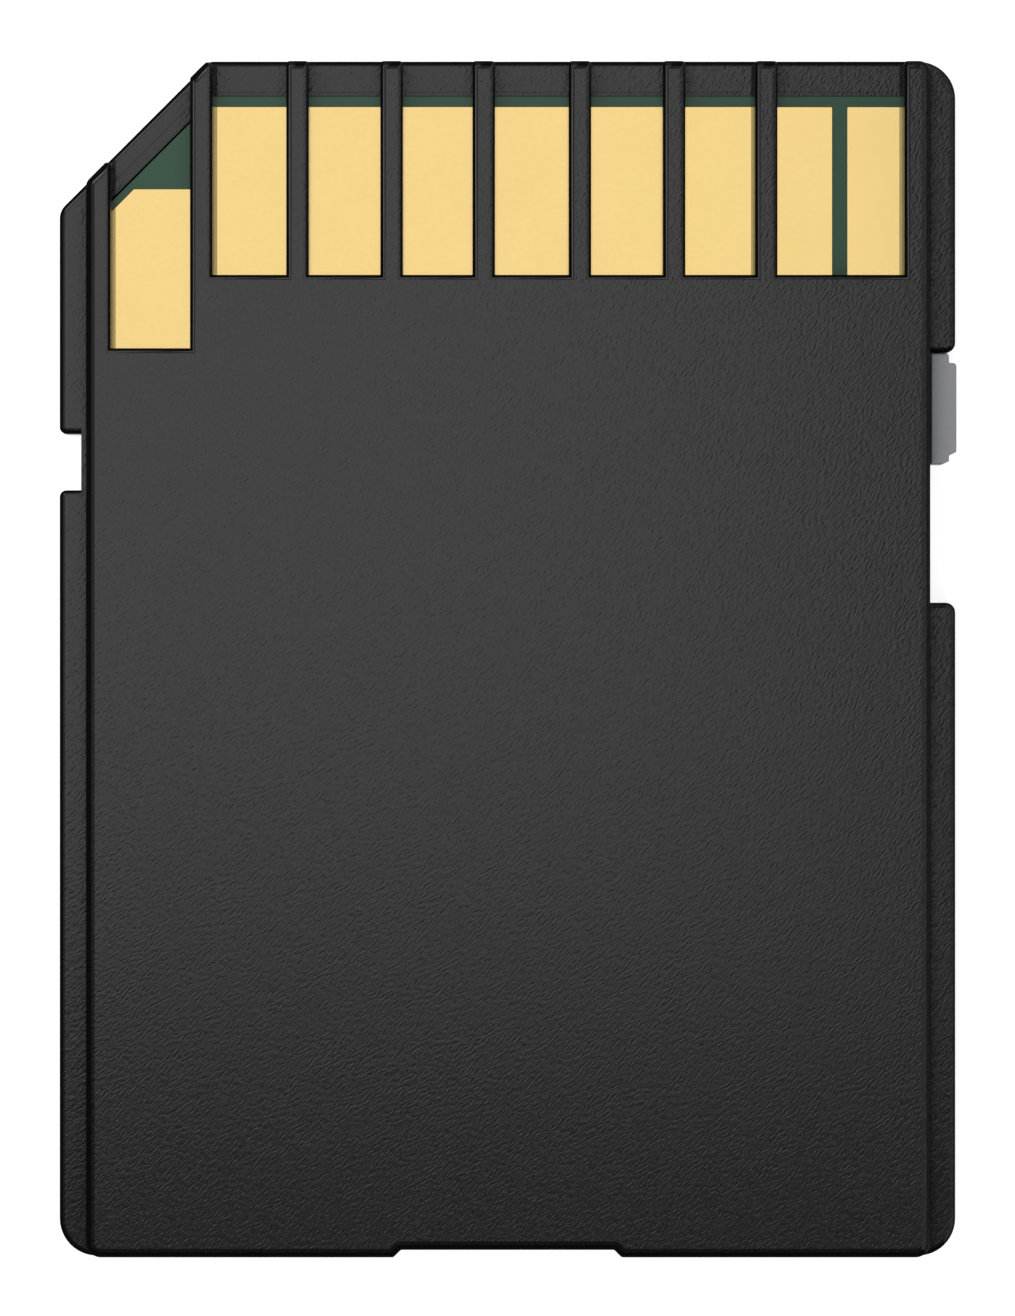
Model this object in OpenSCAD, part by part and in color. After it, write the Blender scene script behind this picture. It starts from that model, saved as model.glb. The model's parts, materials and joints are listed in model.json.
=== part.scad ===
// Full-size flash memory card, lying on its label side with the contacts up.
// X runs across the card, +Y is the way it is pushed in, and Z = 0 is the label face.
// The origin is at the middle of the label face.

/* [Card] */
// Overall length, along the way the card is pushed in
card_l = 32; // [30:0.5:36]
// Overall width across both guide rails
card_w = 24; // [23.5:0.5:28]
// Thickness at the guide rails, which is also the height of the contact plane
rail_t = 1.4; // [1.35:0.05:1.6]
// Width of each guide rail beside the raised back
rail_w = 0.7; // [0.6:0.05:0.9]
// Height of the raised back above the guide rails
raised_h = 0.7; // [0.6:0.05:1]
// Leg of the cut corner
corner_cut = 4; // [3:0.1:4.5]
// Radius of the three square corners
corner_r = 1; // [0.6:0.1:1.5]
// Radius where the cut corner meets the side
cut_corner_r = 0.5; // [0.2:0.1:0.8]
// Radius of the two rear corners of the raised back
raised_corner_r = 0.4; // [0.3:0.05:0.6]
// Radius of the front corners of the raised back
raised_front_r = 0.3; // [0.3:0.05:0.4]
// Rounding along the edge of the raised back
shoulder_r = 0.27; // [0.1:0.01:0.3]
// Rounding along the edges of the guide rails
rail_edge_r = 0.12; // [0.05:0.01:0.15]

/* [Finger recess in the rear edge] */
// Width of the recess
recess_w = 6.1; // [4:0.1:8]
// Depth of the recess
recess_d = 0.2; // [0.18:0.01:0.4]
// Radius of the recess's inner corners
recess_r = 0.15; // [0.1:0.01:0.16]

/* [Cut-outs in the guide rails] */
// Distance from the leading edge to the small notch
notch_from_front = 9.98; // [9:0.02:11]
// Length of the small notch
notch_l = 1.51; // [1:0.01:2]
// Depth of the small notch
notch_d = 0.58; // [0.4:0.01:0.6]
// Radius of the outer corners of the small notch
notch_r = 0.18; // [0.05:0.01:0.3]
// Radius of the inner corners of the small notch
notch_inner_r = 0.08; // [0.04:0.01:0.12]
// Distance from the leading edge to the switch slot
slot_from_front = 7.8; // [7.5:0.1:9]
// Length of the switch slot
slot_l = 6.7; // [5.5:0.1:7.5]
// Radius of the outer corners of the switch slot
slot_r = 0.26; // [0.1:0.01:0.4]

/* [Contact windows] */
// Distance from the side of the card to the centre of the first rib
first_rib_from_side = 3.82; // [3.7:0.01:3.95]
// Width of the window that two contact pads share
shared_window_w = 3.4; // [3.3:0.01:3.6]
// Width of a rib
rib_w = 0.58; // [0.45:0.01:0.7]
// Rounding along the edges of a rib
rib_edge_r = 0.14; // [0.05:0.01:0.18]
// Radius of the upright corners at a rib's tip
rib_tip_r = 0.1; // [0.04:0.01:0.14]
// Width of the border of the raised back beside the outer windows
border_w = 0.7; // [0.55:0.05:0.9]
// Distance from the leading edge to the end of the windows
window_reach = 5.73; // [5:0.01:6.5]
// Distance from the leading edge to the end of the window at the cut corner
corner_window_reach = 7.71; // [7:0.01:8.5]
// Width of the lip along the leading edge
lip_w = 0.93; // [0.8:0.01:1.1]
// Width of the lip along the cut corner
cut_lip_w = 0.765; // [0.7:0.005:0.8]

/* [Shell halves] */
// Height at which the two halves meet
split_z = 0.7; // [0.65:0.05:0.8]
// Thickness of the floor of the label half
floor_t = 0.4; // [0.35:0.05:0.45]
// Thickness of the roof of the contact half
roof_t = 0.4; // [0.3:0.05:0.45]
// Width of the tongue that carries the circuit board
tongue_w = 0.5; // [0.3:0.05:0.6]
// Width of the solid rim of the roof outside its hollow
roof_rim = 1.5; // [1.4:0.1:2]
// Clearance between the tongue or the board and the contact half
board_gap = 0.05; // [0.03:0.01:0.08]
// Thickness of the side wall behind the switch slot
slot_wall = 0.3; // [0.25:0.05:0.35]
// Thickness of the walls at the rear end
rear_wall = 1.05; // [0.8:0.05:1.5]
// Width of the bar under the contact pads
support_w = 0.6; // [0.4:0.1:1]
// Distance from the leading edge to the bar under the contact pads
support_from_front = 3.4; // [3:0.1:3.6]

/* [Circuit board and contact pads] */
// Thickness of the circuit board
board_t = 0.36; // [0.3:0.02:0.4]
// Thickness of a plated contact pad
pad_t = 0.04; // [0.02:0.01:0.06]
// Bare board between the lip and the pads
pad_setback = 0.3; // [0.2:0.02:0.5]
// Bare board between the cut lip and the pad at the cut corner
cut_pad_setback = 0.24; // [0.15:0.01:0.4]
// Distance from the leading edge to the front of the pad at the cut corner
corner_pad_front = 3.43; // [3.2:0.01:4]
// Length of a pad under the end wall of its window
pad_tail = 0.3; // [0.1:0.05:0.4]
// Length of a pad under the border of the raised back
pad_side = 0.25; // [0.1:0.05:0.3]
// Gap between neighbouring pads, under a rib
pad_gap = 0.3; // [0.2:0.02:0.4]
// Width in view of the seventh pad, which shares a window with the eighth
shared_pad_w = 1.5; // [1.3:0.05:1.7]
// Bare board between the two pads that share a window
shared_gap = 0.4; // [0.3:0.02:0.6]

/* [Write protect slider] */
// Length of the slider along the slot
slider_l = 2.97; // [2.6:0.01:3.2]
// Clearance at each end of the slider's travel
end_gap = 0.02; // [0.01:0.01:0.05]
// Running clearance around the slider
slide_gap = 0.05; // [0.03:0.01:0.06]
// Width of the slider's body outside the slot wall
body_w = 0.48; // [0.4:0.01:0.55]
// Distance that the finger nub stands out past the body
nub_w = 0.2; // [0.18:0.01:0.25]
// Length of the finger nub
nub_l = 2.46; // [2:0.02:2.5]
// Setback of the nub from the front end of the body
nub_setback = 0.26; // [0.2:0.02:0.4]
// Bevel at the rear corners of the body and the nub
slider_bevel = 0.12; // [0.08:0.01:0.13]
// Radius of the front corners of the body and the nub
slider_r = 0.09; // [0.04:0.01:0.12]
// Radius of the inner corners between the body and the nub
slider_inner_r = 0.04; // [0.02:0.01:0.05]
// Gap between the slider and each face of the guide rail
face_gap = 0.1; // [0.06:0.01:0.15]
// Rounding along the edges of the slider
slider_edge_r = 0.05; // [0.02:0.01:0.07]
// Thickness of the neck that runs in the slit
neck_t = 0.4; // [0.3:0.02:0.46]
// Height of the middle of the slit
neck_z = 0.75; // [0.7:0.01:0.8]
// Length of the neck
neck_l = 2.4; // [1.6:0.1:2.6]
// Width of the captive head behind the wall
head_w = 0.6; // [0.4:0.05:0.7]
// Thickness of the shell under the slider's channel
channel_floor = 0.25; // [0.2:0.05:0.3]
// Thickness of the guide wall behind the slider's head
guide_t = 0.3; // [0.2:0.05:0.4]
// Radius of the detent on the slider's head
detent_r = 0.25; // [0.15:0.05:0.3]
// Distance that the detent stands out of the head
detent_h = 0.03; // [0.01:0.01:0.04]

/* [Label] */
// Depth of the recess for the label
label_recess = 0.1; // [0.08:0.01:0.12]
// Thickness of the label
label_t = 0.08; // [0.05:0.01:0.1]
// Clearance around the label in its recess
label_gap = 0.06; // [0.04:0.01:0.15]
// Distance from the side of the card to the recess
label_side = 1.9; // [1.8:0.1:3]
// Distance from the leading edge to the recess
label_front = 2.6; // [2:0.1:5]
// Distance from the rear edge to the recess
label_rear = 1.8; // [1.2:0.1:4]
// Radius of the corners of the recess
label_r = 0.8; // [0.4:0.1:1.2]

/* [Components on the board] */
// Clearance between a chip and the floor of the label half
chip_floor_gap = 0.05; // [0.03:0.01:0.1]
// Thickness of a chip's moulded body
chip_t = 0.5; // [0.4:0.02:0.52]
// Length of the flash chip's body across the card
flash_l = 15.4; // [12:0.2:16]
// Width of the flash chip's body along the card
flash_w = 12; // [10:0.5:12.5]
// Distance from the rear edge to the flash chip
flash_from_rear = 2.6; // [2.2:0.1:3]
// Side of the controller chip's body
controller_w = 7; // [6:0.5:7]
// Distance from the flash chip to the controller's leads
controller_gap = 0.8; // [0.4:0.1:1.2]
// Distance of the controller to the left of the card's middle
controller_left = 2.5; // [1:0.5:4]
// Distance between two leads
lead_pitch = 0.5; // [0.4:0.05:0.5]
// Width of a lead
lead_w = 0.2; // [0.15:0.01:0.25]
// Thickness of a lead
lead_t = 0.1; // [0.06:0.01:0.12]
// Reach of a lead outside the chip's body
lead_reach = 0.8; // [0.6:0.05:0.9]
// Distance from the chip's body to the upright part of a lead
lead_shoulder = 0.15; // [0.1:0.01:0.25]
// Radius of the dimple that marks a chip's first lead
mark_r = 0.4; // [0.2:0.05:0.6]
// Depth of the dimple that marks a chip's first lead
mark_d = 0.05; // [0.02:0.01:0.1]
// Distance from the chip's corner to the dimple's centre, along both sides
mark_inset = 0.9; // [0.8:0.05:1.2]
// Number of leads on each end of the flash chip
flash_leads_n = 24; // [12:1:24]
// Number of leads on each side of the controller chip
controller_leads_n = 12; // [8:1:12]
// Length of a ceramic capacitor
capacitor_l = 1; // [0.6:0.1:1.2]
// Width and height of a ceramic capacitor
capacitor_w = 0.5; // [0.3:0.05:0.55]
// Length of a chip resistor
resistor_l = 1; // [0.6:0.1:1.2]
// Width of a chip resistor
resistor_w = 0.5; // [0.3:0.05:0.6]
// Height of a chip resistor
resistor_t = 0.35; // [0.25:0.05:0.4]
// Distance between two resistors, and between two capacitors
small_part_pitch = 1.3; // [1.1:0.1:1.5]
// Distance from the controller chip's leads to the small parts
small_part_gap = 0.7; // [0.3:0.1:1]
// Length of a small part's metal ends
cap_l = 0.25; // [0.15:0.01:0.28]
// Distance that a small part's metal ends stand proud of its body
cap_lap = 0.02; // [0.01:0.01:0.04]

/* [Hidden] */
$fn = 48;
// Overshoot of a cutter past the face that it cuts
over = 0.05;
// Outer corners that turn by less than this many degrees count as blunt
blunt_turn = 60;

shell_black = [0.20, 0.20, 0.205];
slider_grey = [0.50, 0.50, 0.53];
board_green = [0.20, 0.31, 0.26];
contact_gold = [0.96, 0.83, 0.53];
chip_black = [0.12, 0.12, 0.13];
lead_silver = [0.78, 0.78, 0.80];
ceramic_tan = [0.62, 0.50, 0.38];
label_white = [0.88, 0.88, 0.86];

card_t = rail_t + raised_h;
side_x = card_w / 2;
front_y = card_l / 2;
rear_y = -card_l / 2;
raised_x = side_x - rail_w;

// Every front line is y = min(front, x + sum): a straight leading edge and a 45 degree cut.
cut_sum = side_x + front_y - corner_cut;
diagonal = sqrt(2);
function front_at(x, front, sum) = min(front, x + sum);

// The inner line of the lip, which is also the wall of the pocket for the board
lip_y = front_y - lip_w;
lip_sum = cut_sum - cut_lip_w * diagonal;
pocket_x = raised_x - slot_wall;
pocket_rear = rear_y + rear_wall;

board_top = rail_t - pad_t;
board_z = board_top - board_t;

slot_front = front_y - slot_from_front;
slot_rear = slot_front - slot_l;
notch_front = front_y - notch_from_front;
notch_rear = notch_front - notch_l;

window_end = front_y - window_reach;
corner_window_end = front_y - corner_window_reach;
window_side = raised_x - border_w;
n_ribs = 7;
first_rib_x = first_rib_from_side - side_x;
last_rib_x = window_side - shared_window_w - rib_w / 2;
contact_pitch = (last_rib_x - first_rib_x) / (n_ribs - 1);
function rib_x(i) = first_rib_x + i * contact_pitch;
// Each window: left side, right side and the y of its closed end. The last one is at the cut corner.
windows = concat(
    [for (i = [0:n_ribs - 2]) [rib_x(i) + rib_w / 2, rib_x(i + 1) - rib_w / 2, window_end]],
    [[rib_x(n_ribs - 1) + rib_w / 2, window_side, window_end]],
    [[-window_side, rib_x(0) - rib_w / 2, corner_window_end]]
);

// The pads: 1 to 6 have a window each, 7 and 8 share one, and the last is at the cut corner
corner_pad = 9;
shared_pad = 7;
pad_sum = lip_sum - cut_pad_setback * diagonal;
shared_pad_right = rib_x(n_ribs - 1) + rib_w / 2 + shared_pad_w;
function pad_left(i) =
    i == corner_pad ? -window_side - pad_side :
    i > shared_pad ? shared_pad_right + shared_gap : rib_x(i - 1) + pad_gap / 2;
function pad_right(i) =
    i == corner_pad ? rib_x(0) - pad_gap / 2 :
    i > shared_pad ? window_side + pad_side :
    i == shared_pad ? shared_pad_right : rib_x(i) - pad_gap / 2;

head_x = pocket_x - slide_gap;
head_inner_x = head_x - head_w;
head_bottom = channel_floor + slide_gap;
head_top = rail_t - slide_gap;
guide_x = head_inner_x - slide_gap;
channel_rear = slot_rear - 0.5;
channel_front = slot_front + 0.5;
slit_bottom = neck_z - neck_t / 2 - slide_gap;
slit_top = neck_z + neck_t / 2 + slide_gap;
slider_front = slot_front - end_gap;
slider_y = slider_front - slider_l / 2;
slider_rear = slider_front - slider_l;
travel = slot_l - slider_l - 2 * end_gap;
detent_x = head_inner_x - detent_h + detent_r;
detent_y = slider_y;
body_x = raised_x + slide_gap;
body_side = body_x + body_w;
body_top = rail_t - face_gap;
nub_side = body_side + nub_w;
nub_front = slider_front - nub_setback;
nub_rear = nub_front - nub_l;
slider_points = [
    [body_x, slider_rear],
    [body_side - slider_bevel, slider_rear],
    [body_side, slider_rear + slider_bevel],
    [body_side, nub_rear],
    [nub_side - slider_bevel, nub_rear],
    [nub_side, nub_rear + slider_bevel],
    [nub_side, nub_front],
    [body_side, nub_front],
    [body_side, slider_front],
    [body_x, slider_front]
];
slider_radii = [0, 0, 0, slider_inner_r, 0, 0, slider_r, slider_inner_r, slider_r, 0];

chip_bottom = floor_t + chip_floor_gap;
flash_y = rear_y + flash_from_rear + flash_w / 2;
controller_y = flash_y + flash_w / 2 + controller_gap + lead_reach + controller_w / 2;
chip_end_x = controller_w / 2 + lead_reach - controller_left;
chip_end_y = controller_y + controller_w / 2 + lead_reach;
lead_low = chip_bottom + chip_t / 2 - lead_t / 2;
lead_section = [
    [0, lead_low],
    [lead_shoulder + lead_t, lead_low],
    [lead_shoulder + lead_t, board_z - lead_t],
    [lead_reach, board_z - lead_t],
    [lead_reach, board_z],
    [lead_shoulder, board_z],
    [lead_shoulder, lead_low + lead_t],
    [0, lead_low + lead_t]
];

// Unit vector from a to b
function unit(a, b) = (b - a) / norm(b - a);
// Turn at b on the way from a to c, in degrees, positive to the left
function turn(a, b, c) =
    let (u = unit(a, b), v = unit(b, c)) atan2(u.x * v.y - u.y * v.x, u * v);
// Length of edge that a corner of radius r takes up on each side of b
function tangent(a, b, c, r) = r * tan(abs(turn(a, b, c)) / 2);
// Unit vector from the corner b towards the centre of its arc
function inward(a, b, c) =
    let (m = unit(b, a) + unit(b, c)) m / norm(m);
// Centre of the arc of radius r at the corner b
function arc_centre(a, b, c, r) =
    b + inward(a, b, c) * r / cos(turn(a, b, c) / 2);
// A point of a closed list, where i may run past either end
function at(list, i) = list[(i + len(list)) % len(list)];

// A rectangle whose front left corner is cut along y = x + sum
function cut_rectangle(x0, x1, y0, y1, sum) =
    [[x0, y0], [x1, y0], [x1, y1], [y1 - sum, y1], [x0, x0 + sum]];

// The area between a sharp corner at b and its arc of radius r
module corner_sliver(a, b, c, r) {
    t = tangent(a, b, c, r);
    centre = arc_centre(a, b, c, r);
    difference() {
        polygon([b + unit(b, a) * t, b - inward(a, b, c) * over, b + unit(b, c) * t, centre]);
        translate(centre) circle(r);
    }
}

// A polygon, counterclockwise, with an arc at each corner whose radius isn't 0
module rounded_outline(points, radii) {
    difference() {
        union() {
            polygon(points);
            corner_slivers(points, radii, -1);
        }
        corner_slivers(points, radii, 1);
    }
}

// The slivers of all corners that turn the way that side says: 1 is left, -1 is right
module corner_slivers(points, radii, side) {
    for (i = [0:len(points) - 1]) {
        a = at(points, i - 1);
        b = points[i];
        c = at(points, i + 1);
        if (radii[i] > 0 && side * turn(a, b, c) > 0) corner_sliver(a, b, c, radii[i]);
    }
}

// The section that rounds an edge: what lies outside the quarter circle of radius r
module edge_section(r) {
    difference() {
        translate([0, -r]) square([r + over, r + over]);
        translate([0, -r]) circle(r);
    }
}

// Cutter that rounds the top edge from p to q at Z = 0, with the solid on its left
module edge_cutter(p, q, r, before = 0, after = 0) {
    along = unit(p, q);
    start = p - along * before;
    length = norm(q - p) + before + after;
    translate([start.x, start.y, 0])
        rotate([0, 0, atan2(along.y, along.x)])
            translate([0, r, 0])
                rotate([90, 0, 90]) linear_extrude(length) mirror([1, 0]) edge_section(r);
}

// Rounds the top edge, at Z = 0, of a solid with this outline of sharp and arced corners
module round_outline(points, radii, r) {
    difference() {
        difference() {
            children();
            for (i = [0:len(points) - 1])
                edge_cutter(points[i], at(points, i + 1), r,
                    edge_extension(points, radii, i, r), edge_extension(points, radii, i + 1, r));
        }
        for (i = [0:len(points) - 1])
            if (follows_arc(points, radii, i, r)) arc_cutter(points, radii, i, r);
    }
}

// A plate with its lower face at Z = 0 and its top edge rounded
module rounded_plate(points, radii, t, r) {
    translate([0, 0, t])
        round_outline(points, radii, r)
            translate([0, 0, -t]) linear_extrude(t) rounded_outline(points, radii);
}

// The turn at point i of a closed list
function bend_at(points, i) = turn(at(points, i - 1), at(points, i), at(points, i + 1));

// Whether the rounding runs around the arc at point i. A tight or blunt outer corner is mitred
function follows_arc(points, radii, i, r) =
    let (own = at(radii, i), bend = bend_at(points, i))
    bend < 0 ? own > 0 : bend > blunt_turn && own >= 2 * r;

// How far the cutters of both edges run past point i, negative where they stop at its arc
function edge_extension(points, radii, i, r) =
    let (a = at(points, i - 1), b = at(points, i), c = at(points, i + 1))
    follows_arc(points, radii, i, r) ? -tangent(a, b, c, at(radii, i)) : over;

// Cutter that rounds the top edge along the arc at point i
module arc_cutter(points, radii, i, r) {
    a = at(points, i - 1);
    b = at(points, i);
    c = at(points, i + 1);
    own = at(radii, i);
    bend = bend_at(points, i);
    centre = arc_centre(a, b, c, own);
    along = unit(a, b);
    translate([centre.x, centre.y, 0])
        if (bend > 0)
            rotate([0, 0, atan2(-along.x, along.y)])
                rotate_extrude(angle = bend) translate([own - r, 0]) edge_section(r);
        else
            rotate([0, 0, atan2(along.x, -along.y) + bend])
                rotate_extrude(angle = -bend) translate([own, 0]) inner_section(r);
}

// The section that rounds the edge around an inner corner
module inner_section(r) {
    difference() {
        translate([0, -r]) square([r, r + over]);
        translate([r, -r]) circle(r);
    }
}

// Outline of the card
outline_points = [
    [-side_x, rear_y],
    [-recess_w / 2, rear_y],
    [-recess_w / 2, rear_y + recess_d],
    [recess_w / 2, rear_y + recess_d],
    [recess_w / 2, rear_y],
    [side_x, rear_y],
    [side_x, slot_rear],
    [raised_x, slot_rear],
    [raised_x, slot_front],
    [side_x, slot_front],
    [side_x, front_y],
    [front_y - cut_sum, front_y],
    [-side_x, cut_sum - side_x],
    [-side_x, notch_front],
    [-side_x + notch_d, notch_front],
    [-side_x + notch_d, notch_rear],
    [-side_x, notch_rear]
];
// The slot's inner corners stay clear of the slider's
slot_inner_r = slide_gap;
outline_radii = [
    corner_r, 0, recess_r, recess_r, 0, corner_r, slot_r, slot_inner_r, slot_inner_r, slot_r,
    corner_r, raised_front_r, cut_corner_r, notch_r, notch_inner_r, notch_inner_r, notch_r
];

// Outline of the raised back
raised_points = [
    [-raised_x, rear_y],
    [-recess_w / 2, rear_y],
    [-recess_w / 2, rear_y + recess_d],
    [recess_w / 2, rear_y + recess_d],
    [recess_w / 2, rear_y],
    [raised_x, rear_y],
    [raised_x, front_y],
    [front_y - cut_sum, front_y],
    [-raised_x, cut_sum - raised_x]
];
raised_radii = [
    raised_corner_r, 0, recess_r, recess_r, 0, raised_corner_r,
    raised_front_r, raised_front_r, raised_front_r
];

// Outline of the pocket for the circuit board, grown by g on every side
module pocket_area(g = 0) {
    polygon(cut_rectangle(
        -pocket_x - g, pocket_x + g, pocket_rear - g, lip_y + g, lip_sum + g * diagonal));
}

module back_shell() {
    color(shell_black)
        difference() {
            union() {
                rail_slab();
                raised_body();
            }
            board_pocket();
            roof_hollow();
            for (w = windows) window_cutter(w);
            for (w = windows) tip_cutters(w);
            slider_slit();
        }
}

// The rail half of the contact shell, up to the contact plane
module rail_slab() {
    translate([0, 0, split_z])
        rounded_plate(outline_points, outline_radii, rail_t - split_z, rail_edge_r);
}

// The raised back with its rounded shoulder, before its windows are cut
module raised_body() {
    translate([0, 0, split_z])
        rounded_plate(raised_points, raised_radii, card_t - split_z, shoulder_r);
}

module board_pocket() {
    translate([0, 0, split_z - over]) linear_extrude(rail_t - split_z + over) pocket_area();
}

// The hollow in the roof, which keeps clear of the windows' end walls
module roof_hollow() {
    x = raised_x - roof_rim;
    top = card_t - roof_t;
    corner_wall = corner_window_end - tongue_w;
    translate([-x, pocket_rear + tongue_w, rail_t - over])
        cube([2 * x, corner_wall - pocket_rear - tongue_w, top - rail_t + over]);
    translate([rib_x(0), corner_wall - over, rail_t - over])
        cube([x - rib_x(0), window_end - tongue_w - corner_wall + over, top - rail_t + over]);
}

// A contact window, open to the leading edge, with the edges of its three sides rounded
module window_cutter(w) {
    front = front_y + 2 * over;
    translate([w[0], w[2], rail_t]) cube([w[1] - w[0], front - w[2], card_t]);
    translate([0, 0, card_t]) {
        edge_cutter([w[0], w[2]], [w[0], front], rib_edge_r);
        edge_cutter([w[1], front], [w[1], w[2]], rib_edge_r);
        edge_cutter([w[1], w[2]], [w[0], w[2]], rib_edge_r);
    }
}

// Rounds the upright corners of the two rib tips beside a window
module tip_cutters(w) {
    for (side = [0, 1]) {
        x = w[side];
        away = side == 0 ? x - rib_w / 2 : x + rib_w / 2;
        tip = [x, front_at(x, front_y, cut_sum)];
        inside = tip - [0, rib_w];
        beside = [away, front_at(away, front_y, cut_sum)];
        translate([0, 0, rail_t]) linear_extrude(card_t) corner_sliver(inside, tip, beside, rib_tip_r);
    }
}

// The slit in the side wall that the slider's neck runs in
module slider_slit() {
    translate([pocket_x - over, slot_rear, split_z - over])
        cube([slot_wall + 2 * over, slot_l, slit_top - split_z + over]);
}

module front_shell() {
    color(shell_black)
        union() {
            difference() {
                union() {
                    floor_slab();
                    translate([0, 0, split_z - over])
                        linear_extrude(board_z - split_z + over) pocket_area(-board_gap);
                }
                floor_hollow();
                channel_hollow();
                translate([0, 0, -over]) linear_extrude(label_recess + over) label_area();
            }
            contact_support();
            guide_wall();
        }
}

// The label half up to the height where the halves meet, with its lower edge rounded
module floor_slab() {
    translate([0, 0, split_z])
        mirror([0, 0, 1]) rounded_plate(outline_points, outline_radii, split_z, rail_edge_r);
}

module floor_hollow() {
    translate([0, 0, floor_t]) linear_extrude(board_z) pocket_area(-board_gap - tongue_w);
}

// Room for the slider's head, and the lower half of the slit for its neck
module channel_hollow() {
    translate([guide_x, channel_rear, channel_floor])
        cube([pocket_x - guide_x, channel_front - channel_rear, board_z]);
    translate([pocket_x - over, slot_rear, slit_bottom])
        cube([slot_wall + 2 * over, slot_l, board_z]);
}

// The bar that holds the board up under the contact pads
module contact_support() {
    translate([0, 0, floor_t - over])
        linear_extrude(board_z - floor_t + over)
            intersection() {
                pocket_area(-board_gap);
                translate([-side_x, front_y - support_from_front - support_w / 2])
                    square([card_w, support_w]);
            }
}

// The wall behind the slider's head, with a groove for the detent at each end of the travel
module guide_wall() {
    difference() {
        translate([guide_x - guide_t, channel_rear, floor_t - over])
            cube([guide_t, channel_front - channel_rear, head_top - floor_t + over]);
        for (y = [detent_y, detent_y - travel])
            translate([detent_x, y, floor_t - over])
                cylinder(h = rail_t, r = detent_r + slide_gap);
    }
}

module label() {
    color(label_white)
        translate([0, 0, label_recess - label_t]) linear_extrude(label_t) label_area(label_gap);
}

// Outline of the recess for the label, shrunk by g on every side
module label_area(g = 0) {
    inset = label_side + g;
    rounded_outline(
        cut_rectangle(inset - side_x, side_x - inset, rear_y + label_rear + g,
            front_y - label_front - g, cut_sum - inset * diagonal),
        [for (i = [0:4]) label_r]);
}

module write_protect_slider() {
    color(slider_grey)
        union() {
            slider_body();
            slider_neck();
            slider_head();
        }
}

// The part of the slider that stands in the rail's slot, with its finger nub
module slider_body() {
    half_t = (body_top - face_gap) / 2;
    for (side = [0, 1])
        translate([0, 0, face_gap + half_t])
            mirror([0, 0, side])
                rounded_plate(slider_points, slider_radii, half_t, slider_edge_r);
}

module slider_neck() {
    translate([head_x - over, slider_y - neck_l / 2, neck_z - neck_t / 2])
        cube([body_x - head_x + 2 * over, neck_l, neck_t]);
}

module slider_head() {
    translate([head_inner_x, slider_y - slider_l / 2, head_bottom])
        cube([head_w, slider_l, head_top - head_bottom]);
    translate([detent_x, detent_y, head_bottom])
        cylinder(h = head_top - head_bottom, r = detent_r);
}

module circuit_board() {
    color(board_green)
        translate([0, 0, board_z])
            linear_extrude(board_t)
                difference() {
                    pocket_area(-board_gap);
                    translate([guide_x - guide_t - board_gap, channel_rear - board_gap])
                        square([card_w, channel_front - channel_rear + 2 * board_gap]);
                }
}

// Contact pad i, counted from the cut corner's neighbour to the far side; the corner's own is last
module contact_pad(i) {
    front = i == corner_pad ? front_y - corner_pad_front : lip_y - pad_setback;
    rear = (i == corner_pad ? corner_window_end : window_end) - pad_tail;
    color(contact_gold)
        translate([0, 0, board_top])
            linear_extrude(pad_t)
                if (i == corner_pad)
                    polygon(cut_rectangle(pad_left(i), pad_right(i), rear, front, pad_sum));
                else
                    translate([pad_left(i), rear])
                        square([pad_right(i) - pad_left(i), front - rear]);
}

// A chip's moulded body, with the dimple of its first lead on the side away from the board
module chip_body(l, w) {
    difference() {
        translate([-l / 2, -w / 2, chip_bottom]) cube([l, w, chip_t]);
        translate([l / 2 - mark_inset, mark_inset - w / 2, chip_bottom - over])
            cylinder(h = mark_d + over, r = mark_r);
    }
}

// A row of n leads along Y, pointing to +X from the chip's side at X = 0
module lead_row(n) {
    for (i = [0:n - 1])
        translate([0, (i - (n - 1) / 2) * lead_pitch + lead_w / 2, 0])
            rotate([90, 0, 0]) linear_extrude(lead_w) polygon(lead_section);
}

module flash_chip() {
    color(chip_black) translate([0, flash_y, 0]) chip_body(flash_l, flash_w);
}

module flash_leads() {
    color(lead_silver)
        for (side = [0, 180])
            translate([0, flash_y, 0])
                rotate([0, 0, side]) translate([flash_l / 2, 0, 0]) lead_row(flash_leads_n);
}

module controller_chip() {
    color(chip_black)
        translate([-controller_left, controller_y, 0]) chip_body(controller_w, controller_w);
}

module controller_leads() {
    color(lead_silver)
        for (side = [0:90:270])
            translate([-controller_left, controller_y, 0])
                rotate([0, 0, side])
                    translate([controller_w / 2, 0, 0]) lead_row(controller_leads_n);
}

// A two-ended component along X, hanging from the board's face at Z = 0
module small_part(l, w, h) {
    translate([cap_lap - l / 2, cap_lap - w / 2, cap_lap - h])
        cube([l - 2 * cap_lap, w - 2 * cap_lap, h - cap_lap]);
    for (x = [-l / 2, l / 2 - cap_l]) translate([x, -w / 2, -h]) cube([cap_l, w, h]);
}

module capacitor(i) {
    x = chip_end_x + small_part_gap + capacitor_l / 2;
    color(ceramic_tan)
        translate([x, controller_y + (i - 2.5) * small_part_pitch, board_z])
            small_part(capacitor_l, capacitor_w, capacitor_w);
}

module resistor(i) {
    y = chip_end_y + small_part_gap + resistor_l / 2;
    color(chip_black)
        translate([(i - 3) * small_part_pitch - controller_left, y, board_z])
            rotate([0, 0, 90]) small_part(resistor_l, resistor_w, resistor_t);
}

back_shell();
front_shell();
label();
write_protect_slider();
circuit_board();
for (i = [1:corner_pad]) contact_pad(i);
flash_chip();
flash_leads();
controller_chip();
controller_leads();
for (i = [1:4]) capacitor(i);
for (i = [1:5]) resistor(i);
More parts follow.
